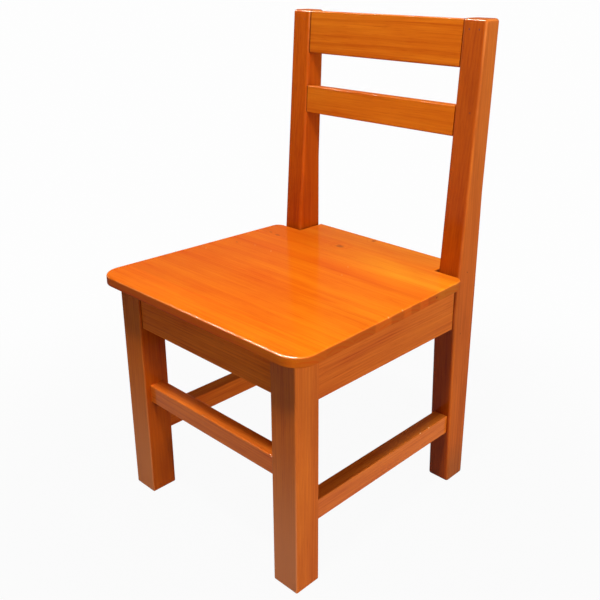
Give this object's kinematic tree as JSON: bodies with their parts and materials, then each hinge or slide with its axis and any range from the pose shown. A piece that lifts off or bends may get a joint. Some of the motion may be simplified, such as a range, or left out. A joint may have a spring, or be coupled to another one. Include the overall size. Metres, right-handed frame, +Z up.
{
  "type": "preschool chair",
  "caption": "Small stained wooden chair with square legs, aprons, stretchers, a flat seat of edge-glued boards and a leaning back of open rails.",
  "frame": {"origin": "on the floor, in the middle of the chair's width and depth", "axes": "+Z up, the front of the chair faces -Y, +X to the right of someone who looks at the front"},
  "size_m": [0.344, 0.3448, 0.5985],
  "materials": {
    "frame_wood": "orange-brown stain under glossy clear varnish",
    "back_wood": "golden orange stain under glossy clear varnish",
    "seat_wood": "bright orange stain under glossy clear varnish",
    "block_wood": "bare planed softwood",
    "screw_steel": "zinc plated",
    "filler": "dark wood filler under varnish"
  },
  "bodies": {
    "root": {"front_leg_left": "frame_wood", "front_leg_right": "frame_wood", "rear_post_left": "frame_wood", "rear_post_right": "frame_wood", "front_apron": "frame_wood", "rear_apron": "frame_wood", "side_apron_left": "frame_wood", "side_apron_right": "frame_wood", "front_stretcher": "frame_wood", "side_stretcher_left": "frame_wood", "side_stretcher_right": "frame_wood", "crest_rail": "back_wood", "mid_rail": "back_wood", "seat_board_1": "seat_wood", "seat_board_2": "seat_wood", "seat_board_3": "seat_wood", "seat_board_4": "seat_wood", "seat_board_5": "seat_wood", "seat_board_6": "seat_wood", "seat_board_7": "seat_wood", "seat_tab": "seat_wood", "corner_block_front_left": "block_wood", "corner_block_front_right": "block_wood", "corner_block_rear_left": "block_wood", "corner_block_rear_right": "block_wood", "block_screws": "screw_steel", "seat_screws": "screw_steel", "rail_brads": "screw_steel", "brad_filler": "filler"}
  },
  "joints": []
}
